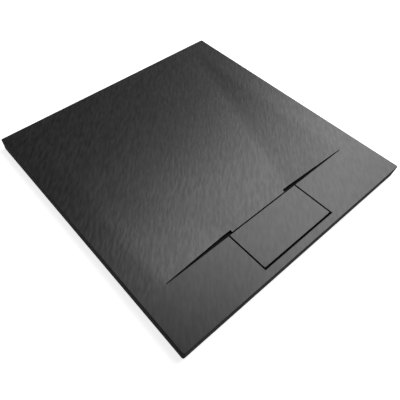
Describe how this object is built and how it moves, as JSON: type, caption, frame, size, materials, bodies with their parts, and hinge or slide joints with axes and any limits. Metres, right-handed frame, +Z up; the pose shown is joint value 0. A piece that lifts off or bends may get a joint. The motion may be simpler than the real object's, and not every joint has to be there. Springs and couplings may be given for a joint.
{
  "type": "shower tray",
  "caption": "Square low-profile slate-finish shower tray whose floor falls to a flush rectangular lift-off drain cover in a side strip.",
  "frame": {"origin": "centre of the tray's underside, on the floor that it is laid on", "axes": "+Z up, +Y from the drain strip to the back, +X to the right seen from the drain side"},
  "size_m": [0.9, 0.9, 0.04],
  "materials": {
    "composite_tray": "matt, fine slate relief",
    "composite_cover": "matt, fine slate relief",
    "pad_rubber": "matt",
    "flange_steel": "brushed",
    "gasket_rubber": "matt",
    "slip_plastic": "matt",
    "lock_plastic": "moulded",
    "sieve_steel": "brushed",
    "knob_steel": "polished"
  },
  "bodies": {
    "tray": {"tray_shell": "composite_tray", "cover_pads": "pad_rubber", "waste_flange": "flange_steel", "flange_gasket": "gasket_rubber", "lower_gasket": "gasket_rubber", "slip_ring": "slip_plastic", "lock_ring": "lock_plastic"},
    "cover": {"drain_cover": "composite_cover"},
    "strainer": {"strainer_sieve": "sieve_steel", "strainer_knob": "knob_steel", "knob_screw": "knob_steel"}
  },
  "joints": [
    {"name": "cover_lift", "type": "slide", "parent": "tray", "child": "cover", "axis": [0, 0, 1], "range_m": [0, 0.15]},
    {"name": "strainer_lift", "type": "slide", "parent": "tray", "child": "strainer", "axis": [0, 0, 1], "range_m": [0, 0.09]}
  ],
  "couplings": [
    {"joint": "strainer_lift", "follows": "cover_lift", "ratio": 0.6}
  ]
}
